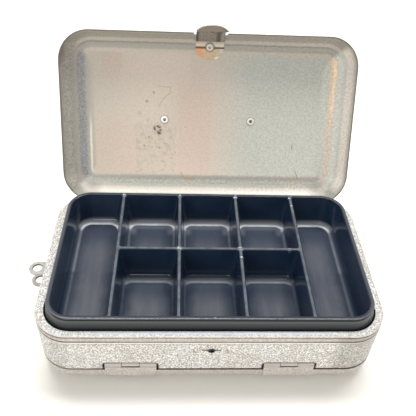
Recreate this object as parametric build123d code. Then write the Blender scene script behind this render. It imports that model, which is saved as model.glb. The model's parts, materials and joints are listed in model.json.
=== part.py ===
from build123d import *
import math
import os

# Double-sided metal fly box. Millimetres, +Z up, +X right, -Y front.
# Origin: centre of the bottom lid's flat outer face. The top lid is modelled open.

# Case
case_width = 180.0
case_depth = 104.0
corner_radius = 18.5
sheet = 0.6
body_height = 30.0
lid_depth = 12.4
lid_edge_radius = 10.6
parting_gap = 0.3
shoulder_radius = 1.4
groove_drops = (2.0, 5.4)
groove_depth = 0.25
groove_radius = 0.55

# Tray openings in the body
opening_half_x = 85.4
opening_half_y = 49.4
opening_corner = 15.3

# Trays
tray_clearance = 0.3
tray_rim_rise = 7.0
tray_rim_inset = 1.6
tray_rim_width = 2.3
tray_rim_slab = 1.8
tray_rim_undercut = 0.4
tray_rim_round = 0.8
tray_skirt_wall = 1.2
tray_skirt_drop = 1.2
tray_wall = 1.1
tray_floor = 0.8
tray_draft = 4.5
tray_mouth_corner = 1.4
tray_floor_corner = 4.6
tray_floor_round = 3.4
divider_sink = 0.5
divider_bevel = 0.4
divider_bevel_angle = 45.0
rim_inner_round = 0.4
end_divider_x = 51.0
mid_divider_x = 17.0
cross_divider_y = 1.2
divider_width = 2.0
partition_sheet = 0.5
tray_seat_gap = 0.15

# Hinges
hinge_centre_x = 41.5
leaf_width = 26.6
knuckle_count = 3
leaf_sheet = 0.45
leaf_film = 0.03
leaf_wrap = 45.0
hinge_inset = 1.0
hinge_drop = 3.8
barrel_radius = 1.3
pin_radius = 0.6
pin_clearance = 0.05
pin_head_radius = 0.95
pin_head_length = 0.2
knuckle_gap = 0.3
notch_side_gap = 1.1
notch_reach = 2.45
notch_corner = 2.2
leaf_foot_gap = 0.2

# Latches
latch_width = 17.4
latch_sheet = 0.7
latch_wall_gap = 0.3
latch_bend_angle = 38.0
latch_bend_gap = 0.15
latch_foot_end = 15.8
latch_foot_round = 11.1
latch_kink_rise = 1.2
latch_tab_rise = 0.4
latch_tab_length = 4.6
latch_tab_angle = 45.0
latch_tab_width = 18.4
detent_rise = 1.8
detent_length = 2.2
detent_height = 1.0
detent_bite = 0.3
slot_length = 3.0
slot_height = 1.6
lid_notch_width = 20.4
lid_notch_height = 6.2
lid_notch_corner = 1.5
latch_rivet_angle = 15.0
latch_head_radius = 2.0
latch_head_height = 0.3
latch_flare_radius = 2.2

# Rivets
rivet_radius = 1.6
rivet_bore = 0.95
rivet_head_radius = 2.35
rivet_head_height = 0.45
rivet_play = 0.03

# Belt loop on the top lid
loop_rivet_x = 27.4
loop_rivet_y = 1.0
loop_sheet = 1.0
loop_width = 13.0
loop_rise = 6.0
loop_foot_length = 10.0
loop_ramp = 5.0
loop_foot_round = 3.5

# Strap bracket on the left wall
bracket_sheet = 1.0
bracket_width = 9.4
bracket_height = 10.9
bracket_reach = 11.4
bracket_hole_radius = 2.7
bracket_bend_round = 0.9
bracket_rivet_rise = 2.4
bracket_rivet_radius = 0.9
bracket_head_radius = 1.5
bracket_head_height = 0.5

# Travel
lid_open_angle = 115.0

# Cutting tools, and the share of a thin edge that its rounding takes
cut_reach = 20.0
drill_length = 4.0
overrun = 1.0
edge_share = 0.8

# Derived levels and places
half_x = case_width / 2
half_y = case_depth / 2
body_low = lid_depth + parting_gap
body_high = body_low + body_height
lid_rim = body_high + parting_gap
lid_top = lid_rim + lid_depth
mid_z = (body_low + body_high) / 2
hinge_y = half_y - hinge_inset
hinge_z = body_high - hinge_drop
edge_y = half_y - lid_edge_radius
edge_z = lid_top - lid_edge_radius
pin_bore = pin_radius + pin_clearance
knuckle_width = leaf_width / knuckle_count
rim_level = body_high + tray_rim_rise
mouth_level = rim_level - divider_sink
tray_low = mid_z + partition_sheet / 2 + tray_seat_gap
skirt_half_x = opening_half_x - tray_clearance
skirt_half_y = opening_half_y - tray_clearance
skirt_corner = opening_corner - tray_clearance
rim_half_x = skirt_half_x - tray_rim_inset
rim_half_y = skirt_half_y - tray_rim_inset
rim_corner = skirt_corner - tray_rim_inset
well_half_x = rim_half_x - tray_rim_width
well_half_y = rim_half_y - tray_rim_width
well_corner = rim_corner - tray_rim_width

hinge_axis = Axis((0, hinge_y, hinge_z), (-1, 0, 0))
turn_over = Axis((0, 0, mid_z), (1, 0, 0))


def open_lid(shape):
    return shape.rotate(hinge_axis, lid_open_angle)


def flip(shape):
    return shape.rotate(turn_over, 180)


def slab(size_x, size_y, radius, low, high):
    return extrude(Pos(0, 0, low) * RectangleRounded(size_x, size_y, radius), high - low)


def along_x(face, start, length):
    return Pos(start, 0, 0) * extrude(Plane.YZ * face, length)


def rivet_hole(radius, place):
    return place * Cylinder(radius + rivet_play, drill_length)


# --- body -------------------------------------------------------------------

def perimeter_groove(level):
    path = Pos(0, 0, level) * RectangleRounded(case_width, case_depth, corner_radius).wire()
    centre_y = -half_y - groove_radius + groove_depth
    profile = Pos(0, centre_y, level) * Rot(0, 90, 0) * Circle(groove_radius)
    return sweep(profile, path=path)


def hinge_notch(side):
    width = leaf_width + 2 * notch_side_gap
    height = hinge_drop + notch_reach
    opening = RectangleRounded(width, 2 * height, notch_corner)
    wall_cut = extrude(Plane.XZ * opening, -cut_reach)
    return Pos(side * hinge_centre_x, half_y - sheet - knuckle_gap, body_high) * wall_cut


def latch_slot():
    """The cutter runs from one sheet outside the wall to one sheet inside it."""
    opening = SlotOverall(slot_length, slot_height)
    return Pos(0, -half_y - sheet, mid_z + detent_rise) * extrude(Plane.XZ * opening, -3 * sheet)


def body_shell():
    outer = slab(case_width, case_depth, corner_radius, body_low, body_high)
    outer = fillet(outer.faces().filter_by(Axis.Z).edges(), shoulder_radius)
    inner = slab(case_width - 2 * sheet, case_depth - 2 * sheet, corner_radius - sheet,
                 body_low + sheet, body_high - sheet)
    inner = fillet(inner.faces().filter_by(Axis.Z).edges(), shoulder_radius - sheet)
    opening = slab(2 * opening_half_x, 2 * opening_half_y, opening_corner,
                   body_low - overrun, body_high + overrun)
    shell = outer - inner - opening
    for drop in groove_drops:
        shell -= perimeter_groove(body_high - drop)
    for side in (-1, 1):
        shell -= hinge_notch(side)
        shell -= flip(hinge_notch(side))
    shell -= latch_slot()
    shell -= flip(latch_slot())
    for place in bracket_rivet_places():
        shell -= rivet_hole(bracket_rivet_radius, place)
    return shell


def partition():
    size_x = case_width - 2 * sheet - 2 * leaf_film
    size_y = case_depth - 2 * sheet - 2 * leaf_film
    low = mid_z - partition_sheet / 2
    return slab(size_x, size_y, corner_radius - sheet - leaf_film, low, low + partition_sheet)


# --- lids, in the closed top position ---------------------------------------

def latch_notch():
    opening = RectangleRounded(lid_notch_width, 2 * lid_notch_height, lid_notch_corner)
    return Pos(0, -edge_y, lid_rim) * extrude(Plane.XZ * opening, cut_reach)


def latch_rivet_place():
    return Pos(0, -edge_y, edge_z) * Rot(latch_rivet_angle, 0, 0)


def lid_shell():
    outer = slab(case_width, case_depth, corner_radius, lid_rim, lid_top)
    outer = fillet(outer.faces().sort_by(Axis.Z)[-1].edges(), lid_edge_radius)
    inner = slab(case_width - 2 * sheet, case_depth - 2 * sheet, corner_radius - sheet,
                 lid_rim - sheet, lid_top - sheet)
    inner = fillet(inner.faces().sort_by(Axis.Z)[-1].edges(), lid_edge_radius - sheet)
    hole = rivet_hole(rivet_radius, latch_rivet_place() * Pos(0, 0, lid_edge_radius))
    return outer - inner - latch_notch() - hole


def loop_rivet_places():
    return [Pos(side * loop_rivet_x, loop_rivet_y, lid_top) for side in (-1, 1)]


def top_lid():
    shell = lid_shell()
    for place in loop_rivet_places():
        shell -= rivet_hole(rivet_radius, place)
    return shell


# --- hinges, in the closed top position -------------------------------------

def knuckle_spans():
    outer = (leaf_width - knuckle_width) / 2 - knuckle_gap
    return [(-leaf_width / 2, outer), (leaf_width / 2 - outer, outer)]


def hinge_place(side):
    return Pos(side * hinge_centre_x, hinge_y, hinge_z)


def barrel(start, length):
    ring = Circle(barrel_radius) - Circle(pin_bore)
    return along_x(ring, start, length)


def lid_leaf(side):
    outer_face = hinge_inset + leaf_film
    rim_low = math.sqrt((barrel_radius + knuckle_gap) ** 2 - outer_face ** 2)
    bend_z = edge_z - hinge_z
    middle = outer_face + leaf_sheet / 2
    upright = Pos(middle, (rim_low + bend_z) / 2) * Rectangle(leaf_sheet, bend_z - rim_low)
    arc_centre = Pos(hinge_inset - lid_edge_radius, bend_z)
    inner_radius = lid_edge_radius + leaf_film
    band = Circle(inner_radius + leaf_sheet) - Circle(inner_radius)
    reach = 2 * lid_edge_radius
    tip = (reach * math.cos(math.radians(leaf_wrap)), reach * math.sin(math.radians(leaf_wrap)))
    wedge = make_face(Polyline((0, 0), (reach, 0), tip, close=True))
    leaf = along_x(upright + arc_centre * (band & wedge), -leaf_width / 2, leaf_width)
    riser = Pos(middle, rim_low / 2) * Rectangle(leaf_sheet, rim_low)
    for start, length in knuckle_spans():
        leaf += barrel(start, length) + along_x(riser, start, length)
    return hinge_place(side) * leaf


def body_leaf(side):
    outer_face = hinge_inset - sheet - leaf_film
    middle = outer_face - leaf_sheet / 2
    top = -notch_reach - knuckle_gap
    foot = mid_z + partition_sheet / 2 + leaf_foot_gap - hinge_z
    plate = Pos(middle, (top + foot) / 2) * Rectangle(leaf_sheet, top - foot)
    riser = Pos(middle, top / 2) * Rectangle(leaf_sheet, -top)
    knuckle_face = Circle(barrel_radius) + riser - Circle(pin_bore)
    knuckle = along_x(knuckle_face, -knuckle_width / 2, knuckle_width)
    leaf = along_x(plate, -leaf_width / 2, leaf_width) + knuckle
    return hinge_place(side) * leaf


def hinge_pin(side):
    length = leaf_width + 2 * pin_clearance
    pin = Cylinder(pin_radius, length)
    for end in (-1, 1):
        pin += Pos(0, 0, end * (length + pin_head_length) / 2) * Cylinder(pin_head_radius, pin_head_length)
    return hinge_place(side) * Rot(0, 90, 0) * pin


# --- latch, in the closed top position --------------------------------------

def strip_outline(points, thickness):
    normals = []
    for (y0, z0), (y1, z1) in zip(points, points[1:]):
        length = math.hypot(y1 - y0, z1 - z0)
        normals.append(((z0 - z1) / length, (y1 - y0) / length))
    outline = []
    for sign in (1, -1):
        side = []
        for index, (y, z) in enumerate(points):
            before = normals[max(index - 1, 0)]
            after = normals[min(index, len(normals) - 1)]
            mitre = sign * thickness / 2 / (1 + before[0] * after[0] + before[1] * after[1])
            side.append((y + mitre * (before[0] + after[0]), z + mitre * (before[1] + after[1])))
        outline += side[::sign]
    return outline


def latch_bend():
    radius = lid_edge_radius - sheet - leaf_film - latch_sheet / 2
    angle = math.radians(latch_bend_angle)
    return -edge_y - radius * math.sin(angle), edge_z + radius * math.cos(angle)


def latch_foot():
    outer_radius = lid_edge_radius - sheet - leaf_film
    inner_radius = outer_radius - latch_sheet
    reach = 2 * lid_edge_radius
    angle = math.radians(latch_bend_angle)
    tip = (-reach * math.sin(angle), reach * math.cos(angle))
    wedge = make_face(Polyline((0, 0), (0, reach), tip, close=True))
    curve = Pos(-edge_y, edge_z) * ((Circle(outer_radius) - Circle(inner_radius)) & wedge)
    plate_y = -half_y + latch_foot_end
    plate = Pos((plate_y - edge_y) / 2, edge_z + (outer_radius + inner_radius) / 2)
    plate *= Rectangle(plate_y + edge_y, latch_sheet)
    foot = along_x(curve + plate, -latch_width / 2, latch_width)
    foot &= Pos(0, plate_y - latch_foot_round, edge_z) * Cylinder(latch_foot_round, 2 * cut_reach)
    return foot - rivet_hole(rivet_radius, latch_rivet_place() * Pos(0, 0, outer_radius))


def latch_tongue():
    bend_y, bend_z = latch_bend()
    face_y = -half_y - latch_wall_gap - latch_sheet / 2
    kink_z = lid_rim + latch_kink_rise
    tab_z = mid_z + latch_tab_rise
    angle = math.radians(latch_tab_angle)
    slope = math.hypot(face_y - bend_y, kink_z - bend_z)
    start = latch_bend_gap / slope
    first = (bend_y + start * (face_y - bend_y), bend_z + start * (kink_z - bend_z))
    straight = strip_outline([first, (face_y, kink_z), (face_y, tab_z)], latch_sheet)
    tongue = along_x(make_face(Polyline(*straight, close=True)), -latch_width / 2, latch_width)
    tab_round = (latch_tab_width ** 2 / 4 + latch_tab_length ** 2) / (2 * latch_tab_length)
    tab = Pos(0, latch_tab_length - tab_round) * Circle(tab_round)
    tab &= Pos(0, latch_tab_length / 2) * Rectangle(latch_tab_width, latch_tab_length)
    tab_plane = Plane((0, face_y, tab_z), x_dir=(1, 0, 0), z_dir=(0, -math.cos(angle), math.sin(angle)))
    tongue += extrude(tab_plane * Rot(0, 0, 180) * tab, latch_sheet / 2, both=True)
    bump = Rot(0, 90, 0) * Cylinder(detent_height / 2, detent_length)
    bump_y = -half_y + detent_bite - detent_height / 2
    return tongue + Pos(0, bump_y, mid_z + detent_rise) * bump


def tubular_rivet(grip, head_radius, head_height, flare_radius):
    """Axis on Z, domed outer head on Z = 0 facing up, clinched flare at -grip facing down."""
    dome = (head_radius ** 2 + head_height ** 2) / (2 * head_height)
    head = Pos(0, 0, head_height - dome) * Sphere(dome)
    head &= Pos(0, 0, head_height) * Cylinder(head_radius, 2 * head_height)
    length = grip + rivet_head_height
    shank = Pos(0, 0, -length / 2) * Cylinder(rivet_radius, length)
    flare = Pos(0, 0, -grip - rivet_head_height / 2) * Cylinder(flare_radius, rivet_head_height)
    flare = fillet(flare.edges().sort_by(Axis.Z)[0], rivet_head_height * edge_share)
    bore_depth = grip + 2 * rivet_head_height
    bore = Pos(0, 0, -bore_depth / 2) * Cylinder(rivet_bore, bore_depth)
    return head + shank + flare - bore


def latch_rivet():
    outside = lid_edge_radius + rivet_play
    foot_inner = lid_edge_radius - sheet - leaf_film - latch_sheet
    flare_seat = math.sqrt(foot_inner ** 2 - latch_flare_radius ** 2) - rivet_play
    rivet = tubular_rivet(outside - flare_seat, latch_head_radius, latch_head_height, latch_flare_radius)
    return latch_rivet_place() * Pos(0, 0, outside) * rivet


# --- belt loop --------------------------------------------------------------

def belt_loop():
    low = lid_top + rivet_play + loop_sheet / 2
    high = low + loop_rise
    foot_out = loop_rivet_x + loop_foot_length / 2
    foot_in = loop_rivet_x - loop_foot_length / 2
    top_x = foot_in - loop_ramp
    left_half = [(-foot_out, low), (-foot_in, low), (-top_x, high)]
    points = left_half + [(-x, z) for x, z in reversed(left_half)]
    outline = make_face(Polyline(*strip_outline(points, loop_sheet), close=True))
    loop = extrude(Plane.XZ * outline, loop_width / 2, both=True)
    bend_reach = foot_in + loop_sheet
    bends = [edge for edge in loop.edges().filter_by(Axis.Y) if abs(edge.center().X) < bend_reach]
    loop = fillet(bends, loop_sheet * edge_share)
    corners = loop.edges().filter_by(Axis.Z)
    loop = Pos(0, loop_rivet_y, 0) * fillet(corners, loop_foot_round)
    for place in loop_rivet_places():
        loop -= rivet_hole(rivet_radius, place)
    return loop


def belt_loop_rivets():
    head_seat = loop_sheet + 2 * rivet_play
    grip = head_seat + sheet + rivet_play
    rivet = tubular_rivet(grip, rivet_head_radius, rivet_head_height, rivet_head_radius)
    return [place * Pos(0, 0, head_seat) * rivet for place in loop_rivet_places()]


# --- strap bracket ----------------------------------------------------------

def bracket_rivet_places():
    return [Pos(-half_x, 0, mid_z + side * bracket_rivet_rise) * Rot(0, -90, 0) for side in (-1, 1)]


def strap_bracket():
    wall_x = -half_x - rivet_play
    base = Pos(wall_x - bracket_sheet / 2, 0, mid_z) * Box(bracket_sheet, bracket_width, bracket_height)
    eye_x = -half_x - bracket_reach + bracket_width / 2
    ear = Pos(eye_x, 0) * Circle(bracket_width / 2)
    ear += Pos((eye_x + wall_x) / 2, 0) * Rectangle(wall_x - eye_x, bracket_width)
    ear -= Pos(eye_x, 0) * Circle(bracket_hole_radius)
    for side in (-1, 1):
        level = mid_z + side * (bracket_height - bracket_sheet) / 2
        base += Pos(0, 0, level) * extrude(ear, bracket_sheet / 2, both=True)
    bends = base.edges().filter_by(Axis.Y).sort_by(Axis.X)[-2:]
    base = fillet(bends, bracket_bend_round)
    for place in bracket_rivet_places():
        base -= rivet_hole(bracket_rivet_radius, place)
    return base


def strap_bracket_rivets():
    outside = bracket_sheet + 2 * rivet_play
    inside = sheet + rivet_play
    head = Cylinder(bracket_head_radius, bracket_head_height)
    rivet = Pos(0, 0, (outside - inside) / 2) * Cylinder(bracket_rivet_radius, outside + inside)
    rivet += Pos(0, 0, outside + bracket_head_height / 2) * head
    rivet += Pos(0, 0, -inside - bracket_head_height / 2) * head
    return [place * rivet for place in bracket_rivet_places()]


# --- trays, in the top position ---------------------------------------------

def cell_outlines(grow, corner):
    """Mouths of the compartments, each grown outwards."""
    half_rib = divider_width / 2 - grow
    well = RectangleRounded(2 * (well_half_x + grow), 2 * (well_half_y + grow), well_corner + grow)
    outlines = []
    for side in (-1, 1):
        near = end_divider_x + half_rib
        far = well_half_x + grow
        end_cell = well & (Pos(side * (near + far) / 2, 0) * Rectangle(far - near, 2 * half_y))
        inner_corners = end_cell.vertices().sort_by(Axis.X)
        inner_corners = inner_corners[-2:] if side < 0 else inner_corners[:2]
        outlines.append(fillet(inner_corners, corner))
    dividers = [-end_divider_x, -mid_divider_x, mid_divider_x, end_divider_x]
    columns = zip(dividers, dividers[1:])
    rows = [(-well_half_y - grow, cross_divider_y - half_rib),
            (cross_divider_y + half_rib, well_half_y + grow)]
    for left, right in columns:
        size_x = right - left - 2 * half_rib
        for front, back in rows:
            place = Pos((left + right) / 2, (front + back) / 2)
            outlines.append(place * RectangleRounded(size_x, back - front, corner))
    return outlines


def skirt_cone(inset):
    low = body_high - tray_skirt_drop
    height = rim_level - tray_rim_slab - low
    lean = math.degrees(math.atan((tray_rim_inset + tray_rim_undercut) / height))
    foot = RectangleRounded(2 * (skirt_half_x - inset), 2 * (skirt_half_y - inset), skirt_corner - inset)
    return extrude(Pos(0, 0, low) * foot, height, taper=lean)


def pockets(grow, floor_level):
    """Compartments with tight corners at the mouth and wide ones at the rounded floor."""
    shrink = (mouth_level - floor_level) * math.tan(math.radians(tray_draft))
    mouths = cell_outlines(grow, tray_mouth_corner + grow)
    floors = cell_outlines(grow - shrink, tray_floor_corner + grow)
    shapes = []
    for mouth, floor in zip(mouths, floors):
        shape = loft([Pos(0, 0, mouth_level) * mouth, Pos(0, 0, floor_level) * floor], ruled=True)
        shapes.append(fillet(shape.faces().sort_by(Axis.Z)[0].edges(), tray_floor_round + grow))
    return shapes


def mouth_bevels(well):
    cones = [extrude(Pos(0, 0, mouth_level) * outline, -divider_bevel, taper=divider_bevel_angle)
             for outline in cell_outlines(divider_bevel, tray_mouth_corner + divider_bevel)]
    return [cone & well for cone in cones]


def tray():
    rim = slab(2 * rim_half_x, 2 * rim_half_y, rim_corner, rim_level - tray_rim_slab, rim_level)
    rim = fillet(rim.faces().filter_by(Axis.Z).edges(), tray_rim_round)
    body = rim + (skirt_cone(0) - skirt_cone(tray_skirt_wall))
    for block in pockets(tray_wall, tray_low):
        body += block
    for hollow in pockets(0, tray_low + tray_floor):
        body -= hollow
    sink = slab(2 * well_half_x, 2 * well_half_y, well_corner, mouth_level, rim_level + overrun)
    well = slab(2 * well_half_x, 2 * well_half_y, well_corner, tray_low, rim_level)
    body -= sink
    for bevel in mouth_bevels(well):
        body -= bevel
    top_face = body.faces().filter_by(Axis.Z).sort_by(Axis.Z)[-1]
    return fillet(top_face.inner_wires()[0].edges(), rim_inner_round)


# --- nodes ------------------------------------------------------------------

upper_tray = tray()
upper_latch = {"latch_foot": latch_foot(), "latch_tongue": latch_tongue(), "latch_rivet": latch_rivet()}
nodes = {
    "body_shell": body_shell(),
    "partition_plate": partition(),
    "top_tray": upper_tray,
    "bottom_tray": flip(upper_tray),
    "top_lid": open_lid(top_lid()),
    "bottom_lid": flip(lid_shell()),
    "belt_loop": open_lid(belt_loop()),
    "belt_loop_rivets": [open_lid(rivet) for rivet in belt_loop_rivets()],
    "strap_bracket": strap_bracket(),
    "strap_bracket_rivets": strap_bracket_rivets(),
}
for name, shape in upper_latch.items():
    nodes["top_" + name] = open_lid(shape)
    nodes["bottom_" + name] = flip(shape)
for side, hand in ((-1, "left"), (1, "right")):
    hinge = {"lid_leaf": lid_leaf(side), "body_leaf": body_leaf(side), "pin": hinge_pin(side)}
    for name, shape in hinge.items():
        turned = open_lid(shape) if name == "lid_leaf" else shape
        nodes[f"top_{hand}_hinge_{name}"] = turned
        nodes[f"bottom_{hand}_hinge_{name}"] = flip(shape)

os.makedirs("parts", exist_ok=True)
for name, shape in nodes.items():
    pieces = shape if isinstance(shape, list) else [shape]
    solids = [solid for piece in pieces for solid in piece.solids()]
    export_step(Compound(children=solids), f"parts/{name}.step")
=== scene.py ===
import json
import math

import bmesh
import bpy
from mathutils import Matrix, Vector


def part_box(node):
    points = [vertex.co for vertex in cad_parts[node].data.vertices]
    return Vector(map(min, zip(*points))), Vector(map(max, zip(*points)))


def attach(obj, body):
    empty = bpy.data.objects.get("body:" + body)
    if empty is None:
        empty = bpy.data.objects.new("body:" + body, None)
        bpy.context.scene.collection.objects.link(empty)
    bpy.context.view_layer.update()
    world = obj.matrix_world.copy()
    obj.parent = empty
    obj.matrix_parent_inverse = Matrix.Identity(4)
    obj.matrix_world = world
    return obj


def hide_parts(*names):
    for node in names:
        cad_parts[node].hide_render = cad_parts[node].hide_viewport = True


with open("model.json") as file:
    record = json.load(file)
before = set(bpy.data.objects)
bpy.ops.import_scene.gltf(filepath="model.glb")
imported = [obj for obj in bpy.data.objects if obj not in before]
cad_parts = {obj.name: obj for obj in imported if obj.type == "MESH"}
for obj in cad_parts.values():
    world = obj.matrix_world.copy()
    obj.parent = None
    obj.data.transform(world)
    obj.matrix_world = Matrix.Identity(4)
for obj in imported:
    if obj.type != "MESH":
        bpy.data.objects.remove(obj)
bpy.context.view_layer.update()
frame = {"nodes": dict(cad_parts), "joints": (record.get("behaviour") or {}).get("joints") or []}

# A double-sided metal fly box: crinkle-lacquered body and lids, plastic trays, spring latches.
# Pieces are in metres, and the finishes' own places and sizes in millimetres unless MM is written with them.
# The top lid stands open; a "shut" place is where a lid piece lies with the lid closed.

MM = 0.001

# --- the box's own sizes, read from its nodes and joints ----------------------

joints = {joint["name"]: joint for joint in frame["joints"]}
body_low_corner, body_high_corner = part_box("body_shell")
lower_lid_low, lower_lid_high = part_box("bottom_lid")
half_length = body_high_corner.x
half_width = body_high_corner.y
shoulder_z = body_high_corner.z
body_foot_z = body_low_corner.z
lid_depth = lower_lid_high.z
box_height = body_foot_z + shoulder_z
hinge_y, hinge_z = joints["top_lid_hinge"]["pos_m"][1:]
lid_opening = math.radians(-joints["top_lid_hinge"]["range_deg"][0])
mid_z = box_height / 2
leaf_low, leaf_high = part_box("bottom_right_hinge_lid_leaf")
hinge_x = (leaf_low.x + leaf_high.x) / 2

# In millimetres: the trays' wells, the case's corners, the belt loop's rivets, the strap bracket's holes and
# the hinge notches
WELL_HALF_X, WELL_HALF_Y, WELL_CORNER = 81.2, 45.2, 11.1
CASE_CORNER = 18.5
LOOP_RIVET = (27.4, 1.0)
EYE_X, EYE_RADIUS = -96.7, 2.7
NOTCH_HALF = (leaf_high.x - leaf_low.x) / 2 / MM + 1.1
NOTCH_RISE = 6.25
NOTCH_CORNER = 2.2
LID_EDGE_Z = (box_height - lid_depth) / MM + 0.15

# Inside the shut top lid: the level of its flat, how far the bare flat runs into the curve, and its corners
LID_FLAT_Z = 54.8
FLAT_MARGIN = 1.8
FLAT_CORNER = 7.9

# The tray's cells: half a small one across, the cross divider, a row's depth, the back wall and an end cell's middle
HALF_CELL = 17.0
CROSS_Y = 1.2
ROW_DEPTH = 43.2
BACK_WALL_Y = 44.6
END_CELL_X = 66.0
END_DIVIDER_X = 51.0

# Half the length, half the width and the corner of a cell's flat floor
CELL_FLAT = (13.6, 18.0, 4.5)
END_FLAT = (11.4, 41.0, 6.5)

# The crinkle's folds: how deep they are, and how strongly they tilt the light
CRINKLE_DEPTH = 0.22 * MM
CRINKLE_STRENGTH = 0.6


# --- looks: a small kit for building each finish in steps ---------------------

class Finish:
    """One material, built up in steps that each return a socket for the next to read."""

    def __init__(self, name, metallic, roughness):
        self.material = bpy.data.materials.new(name)
        self.material.use_nodes = True
        self.nodes = self.material.node_tree.nodes
        self.links = self.material.node_tree.links
        self.shader = self.nodes["Principled BSDF"]
        self.shader.inputs["Metallic"].default_value = metallic
        self.shader.inputs["Roughness"].default_value = roughness
        self.place = self.nodes.new("ShaderNodeTexCoord").outputs["Object"]

    def feed(self, socket, value):
        if isinstance(value, bpy.types.NodeSocket):
            self.links.new(value, socket)
        elif hasattr(value, "__len__") and len(value) == 3 and socket.type == "RGBA":
            socket.default_value = (*value, 1)
        else:
            socket.default_value = value

    def node(self, kind, *inputs, **settings):
        made = self.nodes.new("ShaderNode" + kind)
        for key, value in settings.items():
            setattr(made, key, value)
        for socket, value in zip(made.inputs, inputs):
            if value is not None:
                self.feed(socket, value)
        return made

    def maths(self, operation, a, b=None, clamp=False):
        return self.node("Math", a, b, operation=operation, use_clamp=clamp).outputs[0]

    def times(self, a, b):
        return self.maths("MULTIPLY", a, b)

    def plus(self, a, b, clamp=False):
        return self.maths("ADD", a, b, clamp)

    def minus(self, a, b, clamp=False):
        return self.maths("SUBTRACT", a, b, clamp)

    def unsigned(self, a):
        return self.maths("ABSOLUTE", a)

    def vectors(self, operation, a, b=None):
        made = self.node("VectorMath", a, b, operation=operation)
        return made.outputs["Value"] if operation in ("LENGTH", "DISTANCE") else made.outputs["Vector"]

    def scaled(self, vector, factor):
        made = self.node("VectorMath", vector, operation="SCALE")
        made.inputs["Scale"].default_value = factor
        return made.outputs["Vector"]

    def split(self, place):
        return self.node("SeparateXYZ", place).outputs

    def in_mm(self, place):
        """The three coordinates of a place, in millimetres."""
        return self.split(self.scaled(place, 1 / MM))

    def shut(self, upper):
        """The place of a lid piece with its lid shut, as if it were the top lid's."""
        turn = Matrix.Rotation(lid_opening if upper else math.pi, 4, "X")
        if upper:
            hinge = Matrix.Translation((0, hinge_y, hinge_z))
            turn = hinge @ turn @ hinge.inverted()
        else:
            turn = Matrix.Translation((0, 0, box_height)) @ turn
        made = self.node("Mapping", self.place)
        made.inputs["Location"].default_value = turn.to_translation()
        made.inputs["Rotation"].default_value = turn.to_euler()
        return made.outputs[0]

    def past_box(self, x, y, half_x, half_y, corner):
        """How far a point lies outside a rounded rectangle (below 0 inside), and past each straight side."""
        past_x = self.minus(self.unsigned(x), half_x - corner)
        past_y = self.minus(self.unsigned(y), half_y - corner)
        out_x, out_y = self.maths("MAXIMUM", past_x, 0.0), self.maths("MAXIMUM", past_y, 0.0)
        away = self.vectors("LENGTH", self.node("CombineXYZ", out_x, out_y, 0.0).outputs[0])
        within = self.maths("MINIMUM", self.maths("MAXIMUM", past_x, past_y), 0.0)
        return self.minus(self.plus(away, within), corner), past_x, past_y

    def noise(self, place, size, detail=2.0, roughness=0.5):
        made = self.node("TexNoise", place)
        made.inputs["Scale"].default_value = 1 / size
        made.inputs["Detail"].default_value = detail
        made.inputs["Roughness"].default_value = roughness
        return made.outputs[0]

    def cells(self, place, size):
        made = self.node("TexVoronoi")
        self.feed(made.inputs["Vector"], place)
        made.inputs["Scale"].default_value = 1 / size
        return made.outputs["Distance"]

    def fade(self, value, start, end, low=0.0, high=1.0):
        """low before start, high after end, and a smooth turn between them."""
        made = self.node("MapRange", value, start, end, low, high, interpolation_type="SMOOTHSTEP")
        return made.outputs[0]

    def band(self, value, start, end, soft):
        rise = self.fade(value, start - soft, start + soft)
        fall = self.fade(value, end - soft, end + soft, 1.0, 0.0)
        return self.times(rise, fall)

    def blot(self, place, centre, radius, soft=0.5):
        """1 at a point, 0 past a radius round it, with a soft rim."""
        away = self.vectors("DISTANCE", place, centre)
        return self.fade(away, radius * (1 - soft), radius, 1.0, 0.0)

    def stroke(self, place, start, end, width):
        """1 along a short straight line, 0 half a width away from it."""
        start, end = Vector(start), Vector(end)
        along = end - start
        offset = self.vectors("SUBTRACT", place, tuple(start))
        share = self.node("VectorMath", offset, tuple(along / along.length_squared), operation="DOT_PRODUCT")
        share = self.plus(share.outputs["Value"], 0.0, clamp=True)
        scaled = self.node("VectorMath", tuple(along), operation="SCALE")
        self.feed(scaled.inputs["Scale"], share)
        away = self.vectors("DISTANCE", offset, scaled.outputs["Vector"])
        return self.fade(away, width * 0.2, width * 0.5, 1.0, 0.0)

    def most(self, *masks):
        found = masks[0]
        for mask in masks[1:]:
            found = self.maths("MAXIMUM", found, mask)
        return found

    def blend(self, factor, a, b, mode="MIX"):
        made = self.nodes.new("ShaderNodeMix")
        made.data_type = "RGBA"
        made.blend_type = mode
        self.feed(made.inputs[0], factor)
        self.feed(made.inputs[6], a)
        self.feed(made.inputs[7], b)
        return made.outputs[2]

    def ramp(self, value, start, end, stops):
        """Colours along a value: stops are (value, colour) from start to end."""
        span = self.node("MapRange", value, start, end, 0.0, 1.0).outputs[0]
        made = self.node("ValToRGB", span)
        elements = made.color_ramp.elements
        while len(elements) < len(stops):
            elements.new(0.5)
        for element, (position, colour) in zip(elements, stops):
            element.position = (position - start) / (end - start)
            element.color = (*colour, 1)
        return made.outputs[0]

    def colour(self, value):
        self.feed(self.shader.inputs["Base Color"], value)

    def gloss(self, value):
        self.feed(self.shader.inputs["Roughness"], value)

    def relief(self, height, depth, strength):
        """Raises the surface by depth where height is 1."""
        made = self.node("Bump")
        made.inputs["Strength"].default_value = strength
        made.inputs["Distance"].default_value = depth
        self.feed(made.inputs["Height"], height)
        self.links.new(made.outputs[0], self.shader.inputs["Normal"])


def tone(red, green, blue):
    """A colour as the eye names it, from 0 to 255, as the light that a surface sends back."""
    return tuple((value / 255) ** 2.2 for value in (red, green, blue))


def off(*place_mm):
    return tuple(value * MM for value in place_mm)


# --- finishes -----------------------------------------------------------------

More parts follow.
